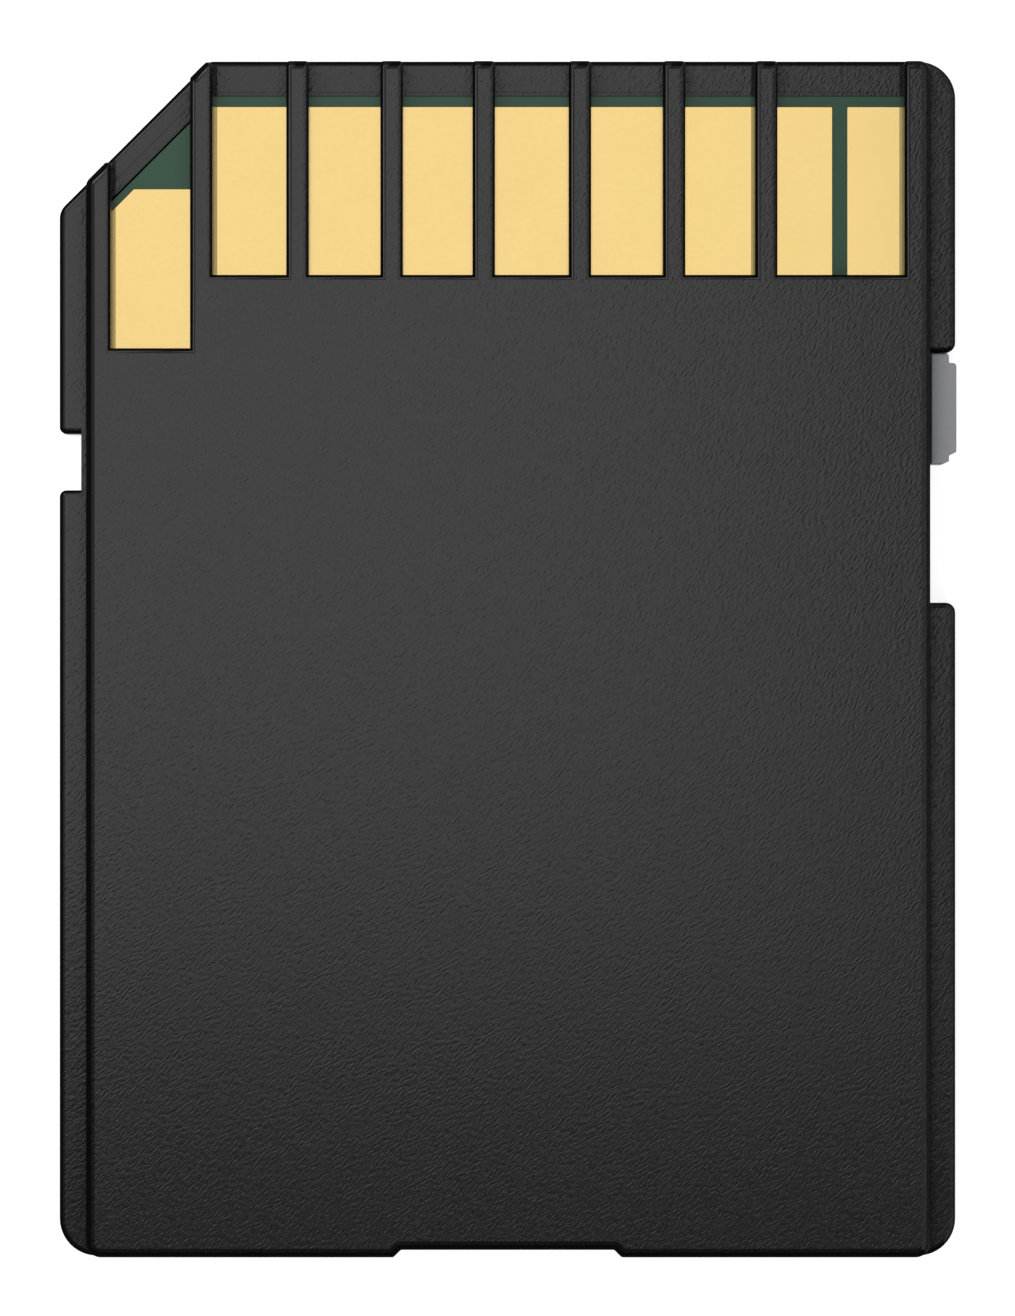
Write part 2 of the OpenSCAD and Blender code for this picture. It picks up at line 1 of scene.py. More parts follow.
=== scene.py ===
# %% [markdown]
# # A memory card with its contacts up
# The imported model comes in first, as a fixed frame. Every size below that the frame can give
# is measured from it, so that the dressed card stays where the frame says. The frame is in
# metres; a card is easier to think about in millimetres, so one factor turns the one into
# the other.

import json
import math
from collections import namedtuple

import bmesh
import bpy
from mathutils import Matrix, Vector


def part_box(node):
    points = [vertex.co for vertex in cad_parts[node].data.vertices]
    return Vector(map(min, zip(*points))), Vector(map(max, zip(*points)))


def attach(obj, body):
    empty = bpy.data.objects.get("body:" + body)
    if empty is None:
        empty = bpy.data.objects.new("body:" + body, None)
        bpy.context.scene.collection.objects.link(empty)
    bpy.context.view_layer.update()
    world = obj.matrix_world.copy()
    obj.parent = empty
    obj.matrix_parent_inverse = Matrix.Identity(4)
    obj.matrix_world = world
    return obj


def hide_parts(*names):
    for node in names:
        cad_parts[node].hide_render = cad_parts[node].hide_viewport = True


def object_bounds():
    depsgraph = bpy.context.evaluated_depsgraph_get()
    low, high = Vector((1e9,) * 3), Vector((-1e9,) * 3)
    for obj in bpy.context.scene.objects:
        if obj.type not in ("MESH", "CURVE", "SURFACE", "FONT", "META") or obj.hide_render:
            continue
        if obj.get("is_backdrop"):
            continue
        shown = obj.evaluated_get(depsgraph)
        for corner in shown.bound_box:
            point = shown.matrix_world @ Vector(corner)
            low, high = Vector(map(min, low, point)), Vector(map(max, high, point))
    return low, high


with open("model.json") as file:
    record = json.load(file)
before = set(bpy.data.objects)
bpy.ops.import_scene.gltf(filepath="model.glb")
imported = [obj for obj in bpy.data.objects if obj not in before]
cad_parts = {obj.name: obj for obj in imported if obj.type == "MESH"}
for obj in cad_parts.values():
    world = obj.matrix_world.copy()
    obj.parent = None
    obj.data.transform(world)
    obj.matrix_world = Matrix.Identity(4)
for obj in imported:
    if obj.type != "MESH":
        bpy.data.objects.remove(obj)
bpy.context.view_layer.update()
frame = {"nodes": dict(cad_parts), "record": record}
MM = 0.001


def box_mm(node):
    """Lowest and highest corner of a node, in millimetres."""
    low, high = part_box(node)
    return low / MM, high / MM


shell_low, shell_high = box_mm("back_shell")
SIDE, FRONT, TOP = shell_high.x, shell_high.y, shell_high.z
REAR = shell_low.y
SPLIT = shell_low.z
CONTACT_Z = box_mm("contact_pad_1")[1].z
print(f"card {2 * SIDE:.2f} x {FRONT - REAR:.2f} x {TOP:.2f} mm, contacts at {CONTACT_Z:.2f} mm")

# %% [markdown]
# ## The camera
# The photograph looks straight down on the card, from about 200 mm above its back. A long
# lens at that distance shows a trace of perspective, which keeps the window walls narrow.
# Blender lays the sensor's width along the picture's long side, so the lens follows from the
# height that the picture covers.

# %% The camera
CAMERA_REACH = 200.0
PICTURE_HEIGHT = 35.12
PICTURE_MIDDLE_Y = 0.017
SENSOR = 36.0
camera_data = bpy.data.cameras.new("camera")
camera_data.sensor_width = SENSOR
camera_data.lens = SENSOR * CAMERA_REACH / PICTURE_HEIGHT
camera_data.clip_start, camera_data.clip_end = 0.01, 10.0
camera = bpy.data.objects.new("camera", camera_data)
camera.location = (0.0, PICTURE_MIDDLE_Y * MM, (TOP + CAMERA_REACH) * MM)
bpy.context.scene.collection.objects.link(camera)
bpy.context.scene.camera = camera
print(f"lens {camera_data.lens:.1f} mm, {CAMERA_REACH:.0f} mm above the card")

# %% [markdown]
# ## A tool for moulded plates
# Nearly every piece of a card is a flat moulding: an outline with rounded corners, whose top
# edge is rounded too. A Bevel modifier could round it, but on an outline with this many small
# corners it folds over itself. So the plate is built from rings instead. Each ring is the
# outline moved inwards by as much as the rounding asks for at that height, and every corner
# has the same number of points in each ring, so the rings join into clean quads. An outline
# is a list of corners, counterclockwise. Each has its place, the radius of its arc, and the
# rounding of the edge that starts there.

# %% Rings of an outline
Corner = namedtuple("Corner", "x y radius edge")
SHARPEST = 0.015
EDGE_STEPS = 7


def arc_steps(radius):
    """Parts of a corner's arc: more of them where the arc is large."""
    return 3 if radius < 0.06 else 6 if radius < 0.3 else 12


def ring(corners, angle):
    """The outline where its edge's rounding has turned by angle.

    At 0 it is the wall, and at 90 degrees the flat face. Each point is x, y and its depth
    under the flat face.
    """
    points = []
    for i, here in enumerate(corners):
        before, after = corners[i - 1], corners[(i + 1) % len(corners)]
        here_at = Vector((here.x, here.y))
        along = (here_at - Vector((before.x, before.y))).normalized()
        ahead = (Vector((after.x, after.y)) - here_at).normalized()
        turn = math.atan2(along.x * ahead.y - along.y * ahead.x, along.dot(ahead))
        inset = [edge * (1 - math.cos(angle)) for edge in (before.edge, here.edge)]
        depth = [edge * (1 - math.sin(angle)) for edge in (before.edge, here.edge)]
        left = [Vector((-d.y, d.x)) for d in (along, ahead)]
        cosine = math.cos(turn)
        share = [(inset[0] - cosine * inset[1]) / (1 - cosine**2),
                 (inset[1] - cosine * inset[0]) / (1 - cosine**2)]
        mitre = here_at + left[0] * share[0] + left[1] * share[1]
        if here.radius == 0:
            points.append((mitre.x, mitre.y, (depth[0] + depth[1]) / 2))
            continue
        moved = (inset[0] + inset[1]) / 2
        radius = max(here.radius - moved, SHARPEST) if turn > 0 else here.radius + moved
        start = mitre - along * radius * math.tan(abs(turn) / 2)
        centre = start + left[0] * math.copysign(radius, turn)
        steps = arc_steps(here.radius)
        for k in range(steps + 1):
            point = centre + (Matrix.Rotation(turn * k / steps, 2) @ (start - centre))
            points.append((point.x, point.y, depth[0] + (depth[1] - depth[0]) * k / steps))
    return points


# %% Plates from rings
def piece_from_mesh(name, mesh):
    """A new object in the scene that holds the mesh."""
    piece = bpy.data.objects.new(name, mesh)
    bpy.context.scene.collection.objects.link(piece)
    return piece


def plate(name, corners, low, high, round_top=False, round_foot=False):
    """A closed plate between two heights, its top or foot rounded as its corners say."""
    rings = [ring(corners, math.pi / 2 * k / EDGE_STEPS) for k in range(EDGE_STEPS + 1)]
    if round_foot:
        levels = [[(x, y, low + d) for x, y, d in points] for points in reversed(rings)]
    else:
        levels = [[(x, y, low) for x, y, d in rings[0]]]
    if round_top:
        levels += [[(x, y, high - d) for x, y, d in points] for points in rings]
    else:
        levels.append([(x, y, high) for x, y, d in rings[0]])
    mesh = bmesh.new()
    rows = [[mesh.verts.new(Vector(p) * MM) for p in level] for level in levels]
    count = len(rows[0])
    for lower, upper in zip(rows, rows[1:]):
        for i in range(count):
            j = (i + 1) % count
            mesh.faces.new((lower[i], lower[j], upper[j], upper[i]))
    mesh.faces.new(reversed(rows[0]))
    mesh.faces.new(rows[-1])
    data = bpy.data.meshes.new(name)
    mesh.to_mesh(data)
    mesh.free()
    return piece_from_mesh(name, data)


def rectangle(x0, x1, y0, y1, radius, edge):
    """The four corners of a rectangle, counterclockwise."""
    return [Corner(x, y, radius, edge) for x, y in ((x0, y0), (x1, y0), (x1, y1), (x0, y1))]


def block(name, low, high, rounding=0.0):
    """A plate with four corners between two points."""
    corners = rectangle(low[0], high[0], low[1], high[1], rounding, rounding)
    return plate(name, corners, low[2], high[2], round_top=rounding > 0, round_foot=rounding > 0)


def plain_mesh(piece):
    """The mesh that a piece's modifiers make, as a mesh of its own."""
    graph = bpy.context.evaluated_depsgraph_get()
    return bpy.data.meshes.new_from_object(piece.evaluated_get(graph))


def carve(piece, tool, operation="DIFFERENCE"):
    """Cuts tool from piece, or joins it on, and deletes the tool."""
    modifier = piece.modifiers.new("carve", "BOOLEAN")
    modifier.operation, modifier.solver, modifier.object = operation, "EXACT", tool
    mesh = plain_mesh(piece)
    piece.modifiers.remove(modifier)
    piece.data = mesh
    bpy.data.objects.remove(tool)


def open_edges(piece):
    """How many edges of a piece don't join exactly two faces."""
    mesh = bmesh.new()
    mesh.from_mesh(piece.data)
    count = sum(1 for e in mesh.edges if len(e.link_faces) != 2)
    mesh.free()
    return count


def finish_surface(piece, crease=40.0):
    """Smooth shading over the roundings, with the flat faces kept flat."""
    mesh = bmesh.new()
    mesh.from_mesh(piece.data)
    bmesh.ops.remove_doubles(mesh, verts=mesh.verts, dist=2e-8)
    bmesh.ops.dissolve_degenerate(mesh, edges=mesh.edges, dist=1e-8)
    mesh.to_mesh(piece.data)
    mesh.free()
    piece.data.shade_smooth()
    piece.data.set_sharp_from_angle(angle=math.radians(crease))
    modifier = piece.modifiers.new("even shading", "WEIGHTED_NORMAL")
    modifier.keep_sharp = True
    modifier.weight = 100
    print(f"{piece.name}: {len(piece.data.polygons)} faces, {open_edges(piece)} open edges")


# %% [markdown]
# ## The outline of the card
# Both halves share one outline: a rectangle with a cut corner, a small notch in the left
# rail, the slot of the write protect slider in the right rail, and a shallow recess for the
# thumb in the rear edge. Walking round it counterclockwise keeps the plastic on the left.

# %% The card's outline
CUT_SUM = 24.0  # y - x along the cut corner
RAIL_EDGE = 0.16
RAISED_X = SIDE - 0.7
RAISED_LEFT = -RAISED_X + 0.035
SQUARE = 0.0  # the radius of a corner that is only mitred
CARD_RADIUS, CUT_FRONT_RADIUS, CUT_SIDE_RADIUS = 1.0, 0.3, 0.5
RECESS_X, RECESS_FLOOR_X, RECESS_Y, RECESS_RADIUS = 3.05, 2.85, REAR + 0.2, 0.1
SLOT_REAR, SLOT_FRONT, SLOT_RADIUS, SLOT_INNER_RADIUS = 1.5, 8.2, 0.26, 0.05
NOTCH_REAR, NOTCH_FRONT, NOTCH_X, NOTCH_RADIUS = 4.51, 6.02, -SIDE + 0.58, 0.18
NOTCH_FRONT_EDGE, NOTCH_SIDE_EDGE, NOTCH_REAR_EDGE = 0.17, 0.015, 0.12

recess = [(x, y, RECESS_RADIUS) for x, y in (
    (-RECESS_X, REAR), (-RECESS_FLOOR_X, RECESS_Y), (RECESS_FLOOR_X, RECESS_Y), (RECESS_X, REAR))]
card_outline = [Corner(x, y, radius, RAIL_EDGE) for x, y, radius in (
    (-SIDE, REAR, CARD_RADIUS), *recess, (SIDE, REAR, CARD_RADIUS),
    (SIDE, SLOT_REAR, SLOT_RADIUS), (RAISED_X, SLOT_REAR, SLOT_INNER_RADIUS),
    (RAISED_X, SLOT_FRONT, SLOT_INNER_RADIUS), (SIDE, SLOT_FRONT, SLOT_RADIUS),
    (SIDE, FRONT, CARD_RADIUS), (FRONT - CUT_SUM, FRONT, CUT_FRONT_RADIUS),
    (-SIDE, CUT_SUM - SIDE, CUT_SIDE_RADIUS))]
card_outline += [
    Corner(-SIDE, NOTCH_FRONT, NOTCH_RADIUS, NOTCH_FRONT_EDGE),
    Corner(NOTCH_X, NOTCH_FRONT, SQUARE, NOTCH_SIDE_EDGE),
    Corner(NOTCH_X, NOTCH_REAR, SQUARE, NOTCH_REAR_EDGE),
    Corner(-SIDE, NOTCH_REAR, NOTCH_RADIUS, RAIL_EDGE)]


def cut_rectangle(x0, x1, y0, y1, total, radius=SQUARE, edge=0.0):
    """A rectangle whose front left corner is cut along y = x + total."""
    places = ((x0, y0), (x1, y0), (x1, y1), (y1 - total, y1), (x0, x0 + total))
    return [Corner(x, y, radius, edge) for x, y in places]


print(f"outline of {len(card_outline)} corners, {len(ring(card_outline, 0))} points in a ring")

# %% [markdown]
# ## The raised back and its windows
# Seven ribs part the contact windows. They stand about midway between two pads, so their
# places come from the pads, and four of them are then moved a little to the right, as they are
# in the photograph. The raised back is one comb: its outline runs round the back, and in and
# out of every window. The shoulder of the back has a wide rounding and the ribs a narrow one,
# and the ring tool lets each edge of one outline have its own.

# %% The comb of the raised back
SHOULDER, WINDOW_EDGE, TIP_EDGE = 0.27, 0.17, 0.25
RIB_HALF, TIP_RADIUS, CUT_TIP_RADIUS = 0.3, 0.1, 0.13
RAISED_REAR_RADIUS, RAISED_FRONT_RADIUS = 0.4, 0.3
TIP_Y = FRONT - 0.03
WINDOW_SIDE = RAISED_X - 0.7
WINDOW_END, CORNER_WINDOW_END = 10.25, 8.29
RIB_SHIFTS = (0.0, 0.055, 0.055, 0.0, 0.055, 0.055, 0.0)

beside = [box_mm(f"contact_pad_{i}") for i in (9, 1, 2, 3, 4, 5, 6, 7)]
pad_pitch = beside[2][0].x - beside[1][0].x
rib_centres = [(a[1].x + b[0].x) / 2 + shift
               for a, b, shift in zip(beside, beside[1:], RIB_SHIFTS)]


def rib_corners(x, left_end):
    """Up a rib's right side, over its tip and down its left side to the next window's end."""
    right, left = x + RIB_HALF, x - RIB_HALF
    tip_right, tip_left = (min(TIP_Y, side + CUT_SUM) for side in (right, left))
    tip_radius = TIP_RADIUS
    if tip_left < TIP_Y:  # the cut corner's edge passes over this rib
        tip_right, tip_radius = right + CUT_SUM, CUT_TIP_RADIUS
    return [Corner(right, WINDOW_END, SQUARE, WINDOW_EDGE),
            Corner(right, tip_right, tip_radius, TIP_EDGE),
            Corner(left, tip_left, TIP_RADIUS, WINDOW_EDGE),
            Corner(left, left_end, SQUARE, WINDOW_EDGE)]


raised_outline = [Corner(RAISED_LEFT, REAR, RAISED_REAR_RADIUS, SHOULDER)]
raised_outline += [Corner(x, y, radius, SHOULDER) for x, y, radius in recess]
raised_outline += [
    Corner(RAISED_X, REAR, RAISED_REAR_RADIUS, SHOULDER),
    Corner(RAISED_X, TIP_Y, RAISED_FRONT_RADIUS, TIP_EDGE),
    Corner(WINDOW_SIDE, TIP_Y, TIP_RADIUS, WINDOW_EDGE),
    Corner(WINDOW_SIDE, WINDOW_END, SQUARE, WINDOW_EDGE)]
for centre in reversed(rib_centres):
    first = centre == rib_centres[0]
    raised_outline += rib_corners(centre, CORNER_WINDOW_END if first else WINDOW_END)
raised_outline += [
    Corner(-WINDOW_SIDE, CORNER_WINDOW_END, SQUARE, WINDOW_EDGE),
    Corner(-WINDOW_SIDE, CUT_SUM - WINDOW_SIDE, TIP_RADIUS, TIP_EDGE),
    Corner(RAISED_LEFT, CUT_SUM + RAISED_LEFT, RAISED_FRONT_RADIUS, SHOULDER)]
print(f"{len(rib_centres)} ribs, about {pad_pitch:.3f} mm apart, "
      f"in an outline of {len(raised_outline)} corners")

# %% [markdown]
# ## The contact half of the shell
# The pocket for the circuit board, the hollow under the roof and the slit for the slider's
# neck are cut first, and then the raised back is joined to the rails. Exact booleans do this
# well, because the pieces are few and closed. The raised back's foot lies inside the rails'
# thickness, since two faces in one plane can leave a boolean's result open. The lip along the
# front has a very shallow chamfer towards the board, which shows as a faint line, and the cut
# lip has a wider one.

# %% A planed strip
DIAGONAL = math.sqrt(2)
PLANED_SLOPE = 0.055
OVER = 0.1  # how far a cutting tool passes the face that it opens


def wedge(name, start, end, width):
    """A prism that planes a strip off the contact plane, left of the line from start to end."""
    depth = width * PLANED_SLOPE
    foot = depth * 1.2  # a little deeper past the edge, so that no sliver stays
    along = (Vector(end) - Vector(start)).normalized()
    left = Vector((-along.y, along.x))
    section = [(width, 0.0), (width, OVER), (-OVER, OVER), (-OVER, -foot), (0.0, -depth)]
    mesh = bmesh.new()
    ends = []
    for place in (start, end):
        ends.append([mesh.verts.new(Vector((*(Vector(place) + left * side), CONTACT_Z + up)) * MM)
                     for side, up in section])
    for i in range(len(section)):
        j = (i + 1) % len(section)
        mesh.faces.new((ends[0][i], ends[0][j], ends[1][j], ends[1][i]))
    mesh.faces.new(reversed(ends[0]))
    mesh.faces.new(ends[1])
    bmesh.ops.recalc_face_normals(mesh, faces=mesh.faces)
    data = bpy.data.meshes.new(name)
    mesh.to_mesh(data)
    mesh.free()
    return piece_from_mesh(name, data)


# %% The contact half of the shell
POCKET_X, POCKET_REAR = 11.0, REAR + 1.05
LIP_Y, LIP_SUM = 15.07, 22.918
LIP_STRIP, CUT_LIP_STRIP = 0.096, 0.275
ROOF_Z, ROOF_X, ROOF_WALL = TOP - 0.4, 9.8, 0.5
RAISED_FOOT = 1.1
SLIT_X0, SLIT_X1, SLIT_FLOOR, SLIT_TOP = POCKET_X - 0.05, RAISED_X + 0.05, 0.5, 1.0

pocket = cut_rectangle(-POCKET_X, POCKET_X, POCKET_REAR, LIP_Y, LIP_SUM)
cut_corner_x = LIP_Y - LIP_SUM
back_shell = plate("contact_half", card_outline, SPLIT, CONTACT_Z, round_top=True)
carve(back_shell, plate("pocket", pocket, SPLIT - OVER, CONTACT_Z + OVER))
carve(back_shell, wedge("lip strip", (cut_corner_x - 0.02, LIP_Y), (POCKET_X, LIP_Y), LIP_STRIP))
carve(back_shell, wedge("cut lip strip", (-POCKET_X, LIP_SUM - POCKET_X), (cut_corner_x, LIP_Y),
                        CUT_LIP_STRIP))
carve(back_shell, block("slit", (SLIT_X0, SLOT_REAR, SPLIT - OVER),
                        (SLIT_X1, SLOT_FRONT, SLIT_TOP)))
raised = plate("raised", raised_outline, RAISED_FOOT, TOP, round_top=True)
carve(raised, plate("pocket", pocket, RAISED_FOOT - OVER, CONTACT_Z))
carve(raised, block("roof", (-ROOF_X, POCKET_REAR + ROOF_WALL, CONTACT_Z - OVER),
                    (ROOF_X, CORNER_WINDOW_END - ROOF_WALL, ROOF_Z)))
roof_join = CORNER_WINDOW_END - ROOF_WALL - OVER
carve(raised, block("roof_front", (rib_centres[0], roof_join, CONTACT_Z - OVER),
                    (ROOF_X, WINDOW_END - ROOF_WALL, ROOF_Z)))
carve(back_shell, raised, "UNION")
finish_surface(back_shell)

# %% [markdown]
# ## The label half of the shell
# The other half is a tray. Its lower edge is rounded, its outer face is recessed for a label,
# and a tongue rises from it into the contact half and carries the circuit board. A bar holds
# the board up under the contacts, and a wall guides the slider's head.

# %% The label half of the shell
BOARD_FOOT = 1.0
GAP = 0.05
LABEL_MARGIN, LABEL_RADIUS, LABEL_EDGE, LABEL_DEPTH = 1.9, 0.8, 0.01, 0.1
LABEL_X, LABEL_REAR, LABEL_FRONT = SIDE - LABEL_MARGIN, REAR + 1.8, FRONT - 2.6
FLOOR = 0.4
ROOTED = FLOOR - 0.05  # where a wall that joins the floor starts, just inside it
TONGUE = 0.5
GUIDE_X, GUIDE_WALL, GUIDE_TOP = 10.3, 0.3, 1.35
CHANNEL_REAR, CHANNEL_FRONT, CHANNEL_FLOOR = SLOT_REAR - 0.5, SLOT_FRONT + 0.5, 0.25
SUPPORT = (-9.6, 12.3), (10.9, 12.9)


def label_corners(shrink=0.0):
    """The label's outline, or its recess's, with a cut corner like the card's."""
    return cut_rectangle(-LABEL_X + shrink, LABEL_X - shrink, LABEL_REAR + shrink,
                         LABEL_FRONT - shrink, CUT_SUM - (LABEL_MARGIN + shrink) * DIAGONAL,
                         LABEL_RADIUS, LABEL_EDGE)


def pocket_corners(shrink):
    """The outline of what stands in the board's pocket, clear of its walls by shrink."""
    return cut_rectangle(-POCKET_X + shrink, POCKET_X - shrink, POCKET_REAR + shrink,
                         LIP_Y - shrink, LIP_SUM - shrink * DIAGONAL)


front_shell = plate("label_half", card_outline, 0.0, SPLIT, round_foot=True)
carve(front_shell, plate("tongue", pocket_corners(GAP), SPLIT - OVER, BOARD_FOOT), "UNION")
carve(front_shell, plate("hollow", pocket_corners(GAP + TONGUE), FLOOR, BOARD_FOOT + OVER))
carve(front_shell, plate("recess", label_corners(), -OVER, LABEL_DEPTH))
carve(front_shell, block("channel", (GUIDE_X, CHANNEL_REAR, CHANNEL_FLOOR),
                         (POCKET_X, CHANNEL_FRONT, BOARD_FOOT + OVER)))
carve(front_shell, block("slit", (SLIT_X0, SLOT_REAR, SLIT_FLOOR),
                         (SLIT_X1, SLOT_FRONT, BOARD_FOOT + OVER)))
carve(front_shell, block("guide", (GUIDE_X - GUIDE_WALL, CHANNEL_REAR, ROOTED),
                         (GUIDE_X, CHANNEL_FRONT, GUIDE_TOP)), "UNION")
carve(front_shell, block("support", (*SUPPORT[0], ROOTED), (*SUPPORT[1], BOARD_FOOT)), "UNION")
finish_surface(front_shell)

# %% The label
LABEL_GAP, LABEL_FOOT = 0.06, 0.02
label = plate("blank_label", label_corners(LABEL_GAP), LABEL_FOOT, LABEL_DEPTH, round_foot=True)
finish_surface(label)

# %% [markdown]
# ## The write protect slider
# A small grey moulding stands in the slot, with a nub for a fingernail. Its neck passes through
# the slit, and a head behind the wall keeps it in. The body is a plate with both edges rounded.

# %% The slider
slider_low, slider_high = box_mm("write_protect_slider")
SLIDER_X, SLIDER_SIDE, NUB_SIDE = RAISED_X + GAP, RAISED_X + GAP + 0.48, slider_high.x
SLIDER_REAR, SLIDER_FRONT = slider_low.y, slider_high.y
NUB_FRONT = SLIDER_FRONT - 0.26
NUB_REAR = NUB_FRONT - 2.46
BEVEL_X, BEVEL_Y = 0.17, 0.08
SLIDER_EDGE, BEVEL_RADIUS, ROOT_RADIUS, END_RADIUS, HEAD_EDGE = 0.05, 0.02, 0.04, 0.09, 0.04
FACE_GAP = 0.1
HEAD_X, HEAD_FOOT, HEAD_TOP = POCKET_X - 0.65, 0.3, 1.35
NECK_HALF, NECK_FOOT, NECK_TOP = 1.2, 0.55, 0.95

slider_outline = [Corner(x, y, radius, SLIDER_EDGE) for x, y, radius in (
    (SLIDER_X, SLIDER_REAR, SQUARE), (SLIDER_SIDE - BEVEL_X, SLIDER_REAR, BEVEL_RADIUS),
    (SLIDER_SIDE, SLIDER_REAR + BEVEL_Y, BEVEL_RADIUS), (SLIDER_SIDE, NUB_REAR, ROOT_RADIUS),
    (NUB_SIDE - BEVEL_X, NUB_REAR, BEVEL_RADIUS), (NUB_SIDE, NUB_REAR + BEVEL_Y, BEVEL_RADIUS),
    (NUB_SIDE, NUB_FRONT, END_RADIUS), (SLIDER_SIDE, NUB_FRONT, ROOT_RADIUS),
    (SLIDER_SIDE, SLIDER_FRONT, END_RADIUS), (SLIDER_X, SLIDER_FRONT, SQUARE))]
slider = plate("write_protect_switch", slider_outline, FACE_GAP, CONTACT_Z - FACE_GAP,
               round_top=True, round_foot=True)
middle = (SLIDER_REAR + SLIDER_FRONT) / 2
carve(slider, block("head", (HEAD_X, SLIDER_REAR, HEAD_FOOT),
                    (POCKET_X - GAP, SLIDER_FRONT, HEAD_TOP), HEAD_EDGE), "UNION")
carve(slider, block("neck", (POCKET_X - OVER, middle - NECK_HALF, NECK_FOOT),
                    (RAISED_X + OVER, middle + NECK_HALF, NECK_TOP)), "UNION")
finish_surface(slider)

# %% [markdown]
# ## The circuit board
# The board closes the pocket, and its green mask shows in front of the pads and between the
# two pads that share a window. It reaches the lip, and the small gap that the cut corner
# leaves starts under the first rib, where nothing shows it. The board is cut away around the
# slider's guide wall.

# %% The circuit board
BOARD_TOP = CONTACT_Z - 0.04
BOARD_FRONT, BOARD_SUM, BOARD_EDGE = LIP_Y - 0.004, LIP_SUM - GAP * DIAGONAL, 0.01
board_corners = cut_rectangle(-POCKET_X + GAP, POCKET_X - GAP, POCKET_REAR + GAP, BOARD_FRONT,
                              BOARD_SUM, SQUARE, BOARD_EDGE)
under_rib = rib_centres[0] + 0.1
board_corners[3:4] = [Corner(under_rib + 0.2, BOARD_FRONT, SQUARE, BOARD_EDGE),
                      Corner(under_rib, under_rib + BOARD_SUM, SQUARE, BOARD_EDGE)]
board = plate("circuit_card", board_corners, BOARD_FOOT, BOARD_TOP, round_top=True)
carve(board, block("cut_out", (GUIDE_X - GUIDE_WALL - GAP, CHANNEL_REAR - GAP, BOARD_FOOT - OVER),
                   (POCKET_X, CHANNEL_FRONT + GAP, BOARD_TOP + OVER)))
finish_surface(board)

# %% [markdown]
# ## Sums of sockets
# Node trees are easier to read as sums. A small class wraps an output socket, and each
# operator adds the Math node that it stands for. A vector's axis, its product with a fixed
# direction and a value's size without its sign are methods of the same class. One function
# adds any other node: its settings come first, because they decide which sockets a node has,
# and then the values or links of its sockets. Both work in shader and in geometry trees.

# %% Wires
class Wire:
    """An output socket that can stand in a sum."""

    def __init__(self, tree, socket):
        self.tree, self.socket = tree, socket

    def math(self, operation, first, second):
        return add_node(self.tree, "ShaderNodeMath", {"operation": operation},
                        {0: first, 1: second})

    def __add__(self, other):
        return self.math("ADD", self, other)

    def __radd__(self, other):
        return self.math("ADD", other, self)

    def __sub__(self, other):
        return self.math("SUBTRACT", self, other)

    def __rsub__(self, other):
        return self.math("SUBTRACT", other, self)

    def __mul__(self, other):
        return self.math("MULTIPLY", self, other)

    def __rmul__(self, other):
        return self.math("MULTIPLY", other, self)

    def __truediv__(self, other):
        return self.math("DIVIDE", self, other)

    def larger(self, other):
        return self.math("MAXIMUM", self, other)

    def between(self, low, high):
        """0 below low and 1 above high, with a soft step from one to the other."""
        return add_node(self.tree, "ShaderNodeMapRange", {"interpolation_type": "SMOOTHSTEP"},
                        {"Value": self, "From Min": low, "From Max": high})

    def unsigned(self):
        """The value without its sign."""
        return add_node(self.tree, "ShaderNodeMath", {"operation": "ABSOLUTE"}, {0: self})

    def axis(self, index):
        """The vector's X, Y or Z, for an index of 0, 1 or 2."""
        return add_node(self.tree, "ShaderNodeSeparateXYZ", None, {"Vector": self}, out=index)

    def dot(self, direction):
        """The vector's dot product with a fixed direction."""
        return add_node(self.tree, "ShaderNodeVectorMath", {"operation": "DOT_PRODUCT"},
                        {0: self, 1: direction}, out=1)


def set_stops(ramp, stops):
    """Gives a colour ramp these (place, colour) stops."""
    while len(ramp.elements) < len(stops):
        ramp.elements.new(0.5)
    for element, (place, colour) in zip(ramp.elements, stops):
        element.position, element.color = place, (*colour, 1.0)


def add_node(tree, kind, settings=None, sockets=None, out=0):
    """Adds a node with its settings, then its sockets' values or links, and gives one output."""
    node = tree.nodes.new(kind)
    for key, value in (settings or {}).items():
        if key == "stops":
            set_stops(node.color_ramp, value)
        else:
            setattr(node, key, value)
    for key, value in (sockets or {}).items():
        if isinstance(value, Wire):
            tree.links.new(value.socket, node.inputs[key])
        else:
            node.inputs[key].default_value = value
    return Wire(tree, node.outputs[out]) if node.outputs else None


# %% [markdown]
# ## A base for every finish
# Each finish starts as an empty shader tree with the place on the piece in millimetres. The
# pieces sit at the origin, so Object coordinates are the same as the frame's, and a pattern
# stays on its piece when the slider moves.

# %% Finishes
def new_finish(name):
    """An empty material and its tree."""
    material = bpy.data.materials.new(name)
    material.use_nodes = True
    material.node_tree.nodes.clear()
    return material, material.node_tree


def place_mm(tree, scale=(1.0, 1.0, 1.0), turn=0.0):
    """The place on the piece in millimetres, turned about Z and then stretched by scale."""
    turned = add_node(tree, "ShaderNodeMapping", None, {
        "Vector": add_node(tree, "ShaderNodeTexCoord", out=3), "Rotation": (0.0, 0.0, turn)})
    return add_node(tree, "ShaderNodeVectorMath", {"operation": "MULTIPLY"},
                    {0: turned, 1: tuple(s / MM for s in scale)})


def noise(tree, place, scale, detail=3.0, roughness=0.5):
    """Noise from 0 to 1."""
    return add_node(tree, "ShaderNodeTexNoise", None, {
        "Vector": place, "Scale": scale, "Detail": detail, "Roughness": roughness})


def mix_colours(tree, share, first, second):
    """From the first colour to the second, by share."""
    return add_node(tree, "ShaderNodeMix", {"data_type": "RGBA"},
                    {0: share, 6: first, 7: second}, out=2)


